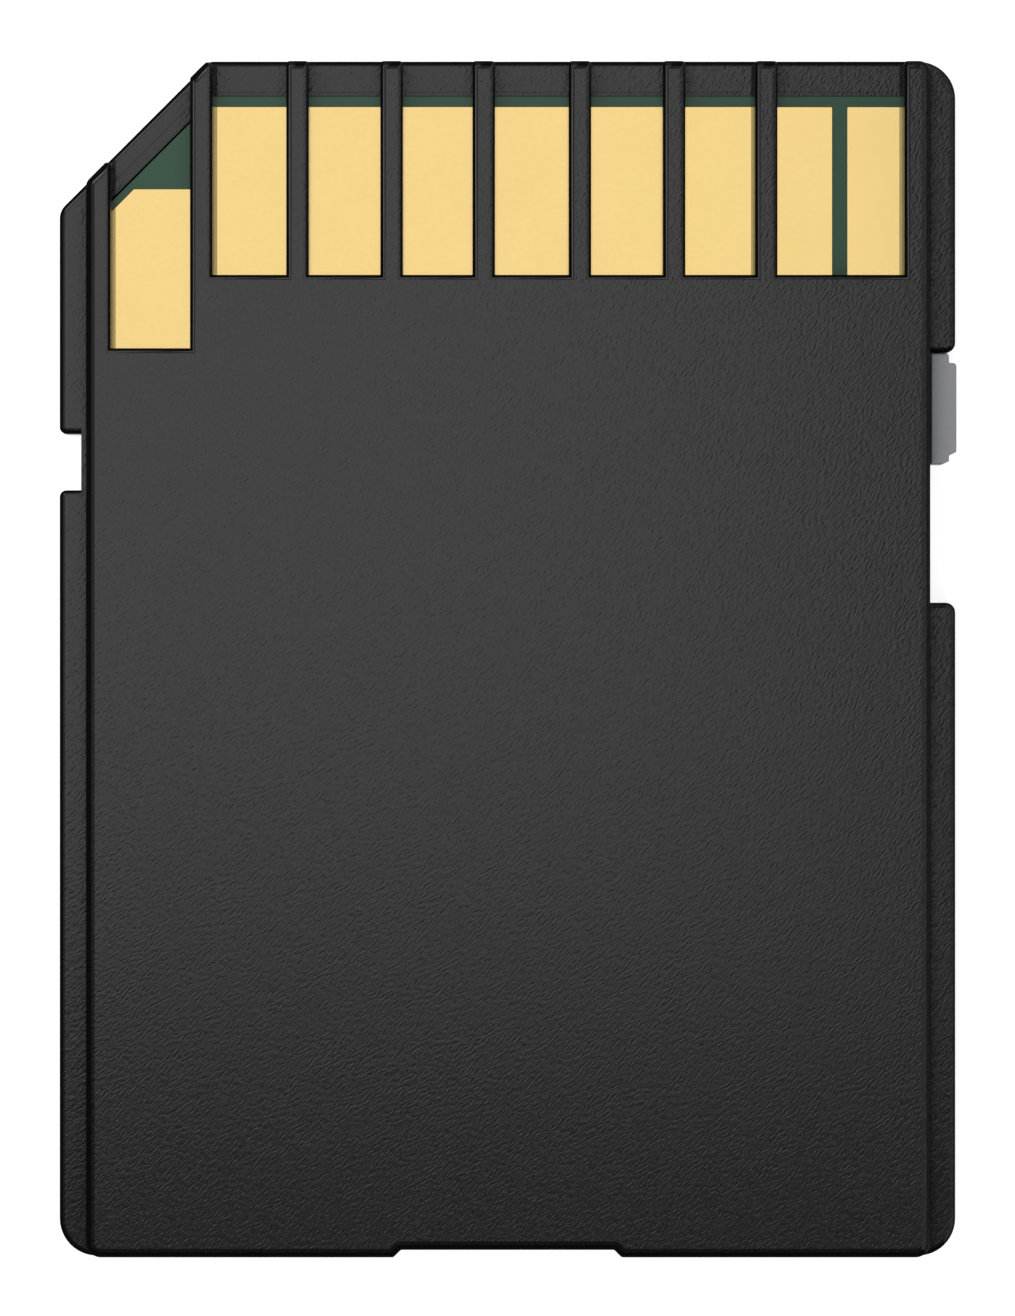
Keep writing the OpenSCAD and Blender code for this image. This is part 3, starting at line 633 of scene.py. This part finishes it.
def bump(tree, height, distance_mm):
    """A normal from a height between 0 and 1, whose full height is distance_mm."""
    return add_node(tree, "ShaderNodeBump", None,
                    {"Height": height, "Distance": distance_mm * MM})


def surface(tree, sockets):
    """A Principled shader with these sockets."""
    return add_node(tree, "ShaderNodeBsdfPrincipled", None, sockets)


def end_finish(material, tree, shader):
    """Links the shader to the material's output."""
    add_node(tree, "ShaderNodeOutputMaterial", None, {"Surface": shader})
    print(f"finish {material.name}: {len(tree.nodes)} nodes")
    return material


def colour(red, green, blue):
    return (red, green, blue, 1.0)


# %% [markdown]
# ## Dark moulded plastic
# The shell is nearly black plastic with a fine slanting grain, as a spark-eroded mould
# leaves it. Its grey comes mostly from the soft box that it reflects, so it fades where the
# light ends. The roundings get painted shade: the height of the normal tells them from the
# flat faces, and it drives a mix with a nearly black shader. Roundings that face right get
# less painted shade, and a band of them a faint painted sheen. A narrow cone of normals, on the
# ribs' tips, gets a painted highlight. Two masks on the place paint shadow strips beside the
# outer windows' walls, and painted shade along the fine creases of the planed lips.

# %% Painted shadow strips beside the walls
SHADOW_STRIP, SHADOW_BLUR = 0.107, 0.004
WALL_SHADOW_STRIPS = (-WINDOW_SIDE, rib_centres[0] + RIB_HALF,
               rib_centres[6] - RIB_HALF - SHADOW_STRIP + 0.02, WINDOW_SIDE - SHADOW_STRIP)


def painted_wall_shadow(tree):
    """1 in the narrow strips beside the outer windows' walls: a painted shadow, as the walls keep
    the light off them.
    """
    place = place_mm(tree)
    across = place.axis(0)
    total = 0.0
    for x in WALL_SHADOW_STRIPS:
        starts = across.between(x - SHADOW_BLUR, x + SHADOW_BLUR)
        ends = across.between(x + SHADOW_STRIP - SHADOW_BLUR, x + SHADOW_STRIP + SHADOW_BLUR)
        total = starts * (1.0 - ends) + total
    return total * place.axis(1).between(8.0, 8.1)


def painted_crease_shade(place):
    """1 on the two creases where the planed strips of the lips begin, for painted shade there."""
    across, along = place.axis(0), place.axis(1)
    past_first_rib = across.between(-8.2, -8.1)
    in_corner_window = across.between(-POCKET_X + 0.3, -POCKET_X + 0.35) * (1.0 - past_first_rib)
    straight = (along - (LIP_Y + LIP_STRIP)).unsigned()
    slanting = (along - across - (LIP_SUM + CUT_LIP_STRIP * DIAGONAL)).unsigned()
    return ((1.0 - straight.between(0.010, 0.018)) * past_first_rib).larger(
        (1.0 - slanting.between(0.014, 0.026)) * in_corner_window)


print(f"{len(WALL_SHADOW_STRIPS)} dark strips, {SHADOW_STRIP} mm wide")


# %% The shell's plastic
def shell_plastic():
    material, tree = new_finish("dark moulded plastic")
    place = place_mm(tree)
    grain = noise(tree, place_mm(tree, (7.5, 18.0, 11.0), math.radians(-50)), 1.0, 1.0, 0.5)
    mottle = noise(tree, place, 2.2, 2.0)
    normal = add_node(tree, "ShaderNodeNewGeometry", out=1)
    flatness = normal.axis(2).unsigned()
    rightward = normal.dot((1.0, 1.0, 0.0)).between(0.01, 0.08) * normal.axis(0).between(0.01, 0.08)
    curved = 1.0 - flatness.between(0.992, 1.0)
    # Painted shade on the roundings, by the tilt of the normal: near black, and less on those that
    # face right.
    dark = curved * 0.68 + (1.0 - flatness.between(0.86, 0.96)) * 0.3
    less_dark = curved * 0.25 + (1.0 - flatness.between(0.74, 0.92)) * 0.62
    rounding = (dark + rightward * (less_dark - dark)) * flatness.between(0.02, 0.12)
    right_shoulder = place.axis(0).between(10.9, 11.1)
    # A painted sheen on a band of the right-facing roundings, stronger on the right shoulder.
    painted_sheen = rightward * curved * flatness.between(0.8, 0.93) * (0.3 + right_shoulder * 0.2)
    # A painted highlight on the ribs' tips, for normals near one direction; it also holds back the
    # painted shade.
    painted_highlight = normal.dot((-0.24, 0.24, 0.94)).between(0.985, 0.999)
    contact_plane = 1.0 - place.axis(2).between(1.42, 1.44)
    # Painted shadow strips beside the outer walls, and painted shade along the lip creases.
    painted_shade_strips = (painted_wall_shadow(tree) * 0.7).larger(painted_crease_shade(place) * 0.3) * contact_plane
    painted_shade = (rounding * (1.0 - painted_highlight)).larger(painted_shade_strips)
    plastic = mix_colours(tree, mottle * 0.2 + grain * 0.8,
                          colour(0.0050, 0.0051, 0.0052), colour(0.0258, 0.0262, 0.0262))
    # The painted sheen and highlight lift the flat shader's colour towards grey.
    flat = surface(tree, {
        "Base Color": mix_colours(tree, painted_sheen.larger(painted_highlight * 0.7), plastic,
                                  colour(0.06, 0.06, 0.061)),
        "Roughness": 0.24 + grain * 0.04,
        "Specular IOR Level": 0.5,
        "Normal": bump(tree, grain, 0.025)})
    # A nearly black shader, mixed in for the painted shade.
    edge = surface(tree, {
        "Base Color": colour(0.0028, 0.0029, 0.0032), "Roughness": 0.6, "Specular IOR Level": 0.0})
    return end_finish(material, tree,
                      add_node(tree, "ShaderNodeMixShader", None, {0: painted_shade, 1: flat, 2: edge}))


# %% [markdown]
# ## Gold, mask and the small finishes
# The contacts are gold plating on a slightly rough ground, so they have a fine grain but no
# sharp reflection. The board's mask is a dark green lacquer. The slider is a lighter plastic.
# The finishes inside the card are simple, but each has the parts that the real one has: the
# small components have metal ends, which a mask on the place along them gives.

# %% Gold plating
def gold_plating():
    material, tree = new_finish("gold plating")
    grain = noise(tree, place_mm(tree), 9.0, 3.0, 0.6)
    cloud = noise(tree, place_mm(tree), 0.6, 2.0)
    gold = mix_colours(tree, grain * 0.6 + cloud * 0.4,
                       colour(0.765, 0.553, 0.208), colour(0.865, 0.633, 0.266))
    # The painted shadow strips beside the outer walls darken the gold.
    return end_finish(material, tree, surface(tree, {
        "Base Color": mix_colours(tree, painted_wall_shadow(tree) * 0.6, gold, colour(0.05, 0.04, 0.02)),
        "Metallic": 1.0,
        "Roughness": 0.14 + grain * 0.05,
        "Normal": bump(tree, grain, 0.0009)}))


# %% The board's mask and the slider
def solder_mask():
    material, tree = new_finish("green solder mask")
    cloud = noise(tree, place_mm(tree), 1.4, 3.0)
    green = mix_colours(tree, cloud, colour(0.005, 0.053, 0.022), colour(0.010, 0.065, 0.029))
    # The painted shadow strips beside the outer walls darken the green.
    return end_finish(material, tree, surface(tree, {
        "Base Color": mix_colours(tree, painted_wall_shadow(tree) * 0.5, green, colour(0.0, 0.002, 0.001)),
        "Roughness": 0.28 + cloud * 0.06,
        "Normal": bump(tree, cloud, 0.001)}))


def slider_plastic():
    material, tree = new_finish("grey moulded plastic")
    grain = noise(tree, place_mm(tree), 7.0, 3.0)
    grey = mix_colours(tree, grain, colour(0.335, 0.34, 0.367), colour(0.385, 0.39, 0.417))
    upright = add_node(tree, "ShaderNodeNewGeometry", out=1).axis(2)
    # Painted shade on the slider's roundings, where the normal tilts.
    painted_rim_shade = (1.0 - upright.between(0.6, 0.98)) * upright.between(0.0, 0.2)
    return end_finish(material, tree, surface(tree, {
        "Base Color": mix_colours(tree, painted_rim_shade * 0.6, grey, colour(0.05, 0.05, 0.055)),
        "Roughness": 0.50 + grain * 0.08,
        "Normal": bump(tree, grain, 0.0015)}))


def label_film():
    material, tree = new_finish("pale label film")
    fibre = noise(tree, place_mm(tree, (1.0, 2.5, 1.0)), 3.0, 4.0)
    return end_finish(material, tree, surface(tree, {
        "Base Color": mix_colours(tree, fibre, colour(0.70, 0.70, 0.68), colour(0.76, 0.76, 0.74)),
        "Roughness": 0.45 + fibre * 0.1,
        "Normal": bump(tree, fibre, 0.001)}))


# %% The finishes inside
def chip_resin():
    material, tree = new_finish("black chip resin")
    sand = noise(tree, place_mm(tree), 12.0, 4.0)
    return end_finish(material, tree, surface(tree, {
        "Base Color": mix_colours(tree, sand,
                                  colour(0.016, 0.016, 0.018), colour(0.028, 0.028, 0.030)),
        "Roughness": 0.55 + sand * 0.15,
        "Normal": bump(tree, sand, 0.002)}))


def tinned_metal():
    material, tree = new_finish("tinned metal")
    streak = noise(tree, place_mm(tree, (2.0, 8.0, 2.0)), 2.0, 3.0)
    return end_finish(material, tree, surface(tree, {
        "Base Color": mix_colours(tree, streak, colour(0.56, 0.56, 0.58), colour(0.68, 0.68, 0.70)),
        "Metallic": 1.0,
        "Roughness": 0.32 + streak * 0.12}))


def two_ended(name, axis, middle_mm, body_first, body_second):
    """A component's body with metal ends, along X (axis 0) or Y (axis 1)."""
    material, tree = new_finish(name)
    ends = (place_mm(tree).axis(axis) - middle_mm).unsigned().between(0.245, 0.255)
    speck = noise(tree, place_mm(tree), 8.0, 3.0)
    body = mix_colours(tree, speck, body_first, body_second)
    return end_finish(material, tree, surface(tree, {
        "Base Color": mix_colours(tree, ends, body, colour(0.62, 0.62, 0.64)),
        "Metallic": ends,
        "Roughness": 0.30 + speck * 0.15}))


capacitor_low, capacitor_high = box_mm("capacitor_1")
resistor_low, resistor_high = box_mm("resistor_1")
FINISHES = {
    "shell_plastic": shell_plastic(), "label_film": label_film(),
    "slider_plastic": slider_plastic(), "solder_mask": solder_mask(),
    "gold_plating": gold_plating(), "chip_resin": chip_resin(), "lead_metal": tinned_metal(),
    "capacitor_ceramic": two_ended(
        "tan ceramic with tinned ends", 0, (capacitor_low.x + capacitor_high.x) / 2,
        colour(0.32, 0.20, 0.11), colour(0.38, 0.24, 0.13)),
    "resistor_body": two_ended(
        "black glaze with tinned ends", 1, (resistor_low.y + resistor_high.y) / 2,
        colour(0.018, 0.018, 0.018), colour(0.028, 0.028, 0.028))}
print(f"{len(FINISHES)} finishes")

# %% [markdown]
# ## The contact pads
# Six of the nine pads are alike and stand at one pitch, so a geometry tree makes them: a
# rectangle with softened corners is filled and raised, and copies of it are set on a line of
# points. The other three differ in width or have a cut corner, and the plate tool makes them.

# %% A tree with named inputs
def geometry_tree(name, inputs):
    """A geometry tree with these (name, socket type, value) inputs, and its inputs as wires."""
    tree = bpy.data.node_groups.new(name, "GeometryNodeTree")
    tree.interface.new_socket(name="Geometry", in_out="INPUT", socket_type="NodeSocketGeometry")
    for label, kind, value in inputs:
        socket = tree.interface.new_socket(name=label, in_out="INPUT", socket_type=kind)
        if value is not None:
            socket.default_value = value
    tree.interface.new_socket(name="Geometry", in_out="OUTPUT", socket_type="NodeSocketGeometry")
    entry = tree.nodes.new("NodeGroupInput")
    wires = {socket.name: Wire(tree, socket) for socket in entry.outputs if socket.name}
    return tree, wires


def end_tree(tree, geometry, material):
    """Realises the instances, gives them the material and ends the tree."""
    real = add_node(tree, "GeometryNodeRealizeInstances", None, {"Geometry": geometry})
    dressed = add_node(tree, "GeometryNodeSetMaterial", None,
                       {"Geometry": real, "Material": material})
    add_node(tree, "NodeGroupOutput", None, {"Geometry": dressed})
    return tree


def grown(name, tree, values, mesh=None):
    """A plain mesh that the tree makes with these values, as a piece."""
    seed = piece_from_mesh(name, mesh or bpy.data.meshes.new(name))
    modifier = seed.modifiers.new("grow", "NODES")
    modifier.node_group = tree
    for item in tree.interface.items_tree:
        if item.in_out == "INPUT" and item.name in values:
            modifier[item.identifier] = values[item.name]
    made = plain_mesh(seed)
    seed.modifiers.remove(modifier)
    seed.data = made
    made.name = name
    print(f"{name}: {len(made.polygons)} faces")
    return seed


# %% Pads on a line of points
LENGTH, COUNT, PLACE = "NodeSocketFloat", "NodeSocketInt", "NodeSocketVector"


def pad_row_tree(material):
    tree, given = geometry_tree("pad row", [
        ("Pads", COUNT, 6), ("Pitch", LENGTH, 0.0025), ("Width", LENGTH, 0.002),
        ("Length", LENGTH, 0.005), ("Thickness", LENGTH, 0.00004), ("Corner", LENGTH, 0.00003),
        ("Start", PLACE, (0.0, 0.0, 0.0))])
    outline = add_node(tree, "GeometryNodeCurvePrimitiveQuadrilateral", {"mode": "RECTANGLE"},
                       {"Width": given["Width"], "Height": given["Length"]})
    soft = add_node(tree, "GeometryNodeFilletCurve", {"mode": "POLY"},
                    {"Curve": outline, "Count": 4, "Radius": given["Corner"]})
    face = add_node(tree, "GeometryNodeFillCurve", {"mode": "NGONS"}, {"Curve": soft})
    raised_pad = add_node(tree, "GeometryNodeExtrudeMesh", {"mode": "FACES"},
                          {"Mesh": face, "Offset Scale": given["Thickness"], "Individual": False})
    foot = add_node(tree, "GeometryNodeFlipFaces", None, {"Mesh": face})
    joined = tree.nodes.new("GeometryNodeJoinGeometry")
    for part in (raised_pad, foot):
        tree.links.new(part.socket, joined.inputs[0])
    pad = add_node(tree, "GeometryNodeMergeByDistance", None,
                   {"Geometry": Wire(tree, joined.outputs[0]), "Distance": 1e-7})
    step = add_node(tree, "ShaderNodeCombineXYZ", None, {"X": given["Pitch"]})
    line = add_node(tree, "GeometryNodeMeshLine", {"mode": "OFFSET"},
                    {"Count": given["Pads"], "Start Location": given["Start"], "Offset": step})
    row = add_node(tree, "GeometryNodeInstanceOnPoints", None, {"Points": line, "Instance": pad})
    return end_tree(tree, row, material)


# %% The nine pads
PAD_RADIUS, PAD_EDGE, PAD_TO_LIP = 0.03, 0.01, 0.24

first_low, first_high = box_mm("contact_pad_1")
pads = grown("gold_pads_1_to_6", pad_row_tree(FINISHES["gold_plating"]), {
    "Pads": 6, "Pitch": pad_pitch * MM, "Width": (first_high.x - first_low.x) * MM,
    "Length": (first_high.y - first_low.y) * MM,
    "Thickness": (first_high.z - first_low.z) * MM,
    "Start": ((first_low.x + first_high.x) / 2 * MM, (first_low.y + first_high.y) / 2 * MM,
              first_low.z * MM)})
odd_pads = {}
for i in (7, 8, 9):
    low, high = box_mm(f"contact_pad_{i}")
    if i == 9:
        corners = cut_rectangle(low.x, high.x, low.y, high.y, LIP_SUM - PAD_TO_LIP * DIAGONAL,
                                PAD_RADIUS, PAD_EDGE)
    else:
        corners = rectangle(low.x, high.x, low.y, high.y, PAD_RADIUS, PAD_EDGE)
    odd_pads[i] = plate(f"gold_pad_{i}", corners, low.z, high.z, round_top=True)
    finish_surface(odd_pads[i])

# %% [markdown]
# ## The chips' leads
# A gull-wing lead leaves the chip's side, steps up to the board and lies flat on it. Its
# middle line is drawn as four points. The tree rounds the bends, sweeps a flat strip along the
# line, sets a row of them along the chip's side and turns the row round to the other sides.
# The rows of a chip with leads on all four sides stop short of its corners.

# %% Leads on every side of a chip
def lead_tree(material):
    tree, given = geometry_tree("gull wing leads", [
        ("Leads", COUNT, 12), ("Pitch", LENGTH, 0.0005), ("Width", LENGTH, 0.0002),
        ("Thickness", LENGTH, 0.0001), ("Bend", LENGTH, 0.00008), ("Sides", COUNT, 2),
        ("Centre", PLACE, (0.0, 0.0, 0.0))])
    path = add_node(tree, "GeometryNodeMeshToCurve", None, {"Mesh": given["Geometry"]})
    bent = add_node(tree, "GeometryNodeFilletCurve", {"mode": "POLY"},
                    {"Curve": path, "Count": 3, "Radius": given["Bend"]})
    strip = add_node(tree, "GeometryNodeCurvePrimitiveQuadrilateral", {"mode": "RECTANGLE"},
                     {"Width": given["Width"], "Height": given["Thickness"]})
    lead = add_node(tree, "GeometryNodeCurveToMesh", None,
                    {"Curve": bent, "Profile Curve": strip, "Fill Caps": True})
    step = add_node(tree, "ShaderNodeCombineXYZ", None, {"Y": given["Pitch"]})
    start = add_node(tree, "ShaderNodeCombineXYZ", None,
                     {"Y": (given["Leads"] - 1.0) * given["Pitch"] * -0.5})
    line = add_node(tree, "GeometryNodeMeshLine", {"mode": "OFFSET"},
                    {"Count": given["Leads"], "Start Location": start, "Offset": step})
    row = add_node(tree, "GeometryNodeInstanceOnPoints", None, {"Points": line, "Instance": lead})
    spot = add_node(tree, "GeometryNodeMeshLine", {"mode": "OFFSET"}, {
        "Count": given["Sides"], "Start Location": given["Centre"], "Offset": (0.0, 0.0, 0.0)})
    index = add_node(tree, "GeometryNodeInputIndex")
    rotation = add_node(tree, "ShaderNodeCombineXYZ", None,
                        {"Z": index * (2 * math.pi) / given["Sides"]})
    rows = add_node(tree, "GeometryNodeInstanceOnPoints", None,
                    {"Points": spot, "Instance": row, "Rotation": rotation})
    return end_tree(tree, rows, material)


# %% The leads of both chips
HALF_LEAD, LEAD_WIDTH, LEAD_PITCH = 0.05, 0.2, 0.5
SHOULDER_REACH = 0.2
BARE_ENDS = 1.3  # what a row leaves free of the chip's side, at both ends together


def leads(name, chip, node, sides):
    """The leads of one chip, drawn between the boxes of the chip and its packed leads."""
    chip_low, chip_high = box_mm(chip)
    low, high = box_mm(node)
    start, end = (chip_high.x - chip_low.x) / 2, (high.x - low.x) / 2
    chip_level, board_level = low.z + HALF_LEAD, high.z - HALF_LEAD
    bend = start + SHOULDER_REACH
    points = [(start, chip_level), (bend, chip_level), (bend, board_level), (end, board_level)]
    mesh = bpy.data.meshes.new(name)
    mesh.from_pydata([(x * MM, 0.0, z * MM) for x, z in points], [(0, 1), (1, 2), (2, 3)], [])
    if sides == 2:
        row_reach = high.y - low.y - LEAD_WIDTH
    else:
        row_reach = chip_high.y - chip_low.y - BARE_ENDS
    return grown(name, LEADS, {
        "Leads": round(row_reach / LEAD_PITCH) + 1, "Sides": sides,
        "Centre": ((chip_low.x + chip_high.x) / 2 * MM, (chip_low.y + chip_high.y) / 2 * MM, 0.0)},
        mesh)


LEADS = lead_tree(FINISHES["lead_metal"])
flash_leads = leads("flash_chip_leads", "flash_chip", "flash_leads", 2)
controller_leads = leads("controller_chip_leads", "controller_chip", "controller_leads", 4)

# %% [markdown]
# ## Every piece on its body
# The slider rides on its own body and everything else rides on the card. A new piece says
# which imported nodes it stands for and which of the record's finishes it takes. The nodes that
# stay get their finish by the record's own list.

# %% Bodies, nodes and finishes
record_slots = {row["node"]: row["material_slot"] for row in frame["record"]["subparts"]}
DRESSED = [
    (back_shell, "card", ["back_shell"]), (front_shell, "card", ["front_shell"]),
    (label, "card", ["label"]),
    (slider, "slider", ["write_protect_slider"]), (board, "card", ["circuit_board"]),
    (pads, "card", [f"contact_pad_{i}" for i in range(1, 7)]),
    *((odd_pads[i], "card", [f"contact_pad_{i}"]) for i in (7, 8, 9)),
    (flash_leads, "card", ["flash_leads"]),
    (controller_leads, "card", ["controller_leads"])]
for piece, body, nodes in DRESSED:
    finish = record_slots[nodes[0]]
    piece.data.materials.clear()
    piece.data.materials.append(FINISHES[finish])
    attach(piece, body)
    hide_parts(*nodes)
for node, packed in frame["nodes"].items():
    packed.data.materials.clear()
    packed.data.materials.append(FINISHES[record_slots[node]])

# %% [markdown]
# ## Light and floor
# A large soft box hangs low over the leading end of the card. The plastic and the gold both
# reflect it, and where it ends the plastic goes dark, as it does in the photograph. A pale
# cove lies all round at the horizon, and a fill light that only reaches matt surfaces lifts
# the rear end. The floor takes a soft shadow, and glows a little for the rays that see it, so
# that it is as white as in the photograph.

# %% Light
def soft_box(name, centre, size, radiance, glossy=True):
    """A flat light that faces down, with its radiance as seen from below."""
    data = bpy.data.lights.new(name, "AREA")
    data.shape = "RECTANGLE"
    data.size, data.size_y = size[0] * MM, size[1] * MM
    data.energy = radiance * math.pi * data.size * data.size_y
    lamp = bpy.data.objects.new(name, data)
    lamp.location = [c * MM for c in centre]
    lamp.visible_camera = False
    lamp.visible_glossy = glossy
    bpy.context.scene.collection.objects.link(lamp)
    print(f"{name}: {data.energy * 1000:.2f} mW")


soft_box("soft box", (-36.2, 37.75, 32.0), (101.6, 96.5), 1.08)
soft_box("rear fill", (20.0, -60.0, 60.0), (90.0, 90.0), 0.8, glossy=False)

# %% The cove and the floor
world = bpy.data.worlds.new("studio cove")
world.use_nodes = True
sky = world.node_tree
sky.nodes.clear()
direction = add_node(sky, "ShaderNodeTexCoord", out=0)
glow = 1.0 - 0.94 * direction.axis(2).between(0.25, 0.60)
cove = add_node(sky, "ShaderNodeBackground", None,
                {"Color": colour(1.0, 1.0, 1.0), "Strength": glow})
add_node(sky, "ShaderNodeOutputWorld", None, {"Surface": cove})
bpy.context.scene.world = world

FLOOR_REACH, FLOOR_THICKNESS = 1500.0, 1.0
floor = block("floor", (-FLOOR_REACH, -FLOOR_REACH, -FLOOR_THICKNESS),
              (FLOOR_REACH, FLOOR_REACH, 0.0))
paper, tree = new_finish("white floor")
rays = tree.nodes.new("ShaderNodeLightPath")
seen = Wire(tree, rays.outputs["Is Camera Ray"]).larger(Wire(tree, rays.outputs["Is Glossy Ray"]))
seen = seen.larger(Wire(tree, rays.outputs["Is Transmission Ray"]))
dust = noise(tree, place_mm(tree), 0.05, 2.0)
matt = surface(tree, {
    "Base Color": mix_colours(tree, dust, colour(0.50, 0.50, 0.50), colour(0.52, 0.52, 0.52)),
    "Roughness": 0.9, "Specular IOR Level": 0.0,
    "Emission Color": mix_colours(tree, seen, colour(0.0, 0.0, 0.0), colour(1.0, 1.0, 1.0)),
    "Emission Strength": 0.84})
end_finish(paper, tree, matt)
floor.data.materials.append(paper)
floor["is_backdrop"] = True

# %% [markdown]
# ## Render settings and the sizes
# The plain view transform shows the colours as they are. The dressed card's size is printed
# last, so that it can be compared with the imported one's.

# %% The last lines
bpy.context.scene.view_settings.view_transform = "Standard"
low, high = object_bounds()
print("dressed size in mm:", [round(v / MM, 3) for v in high - low])
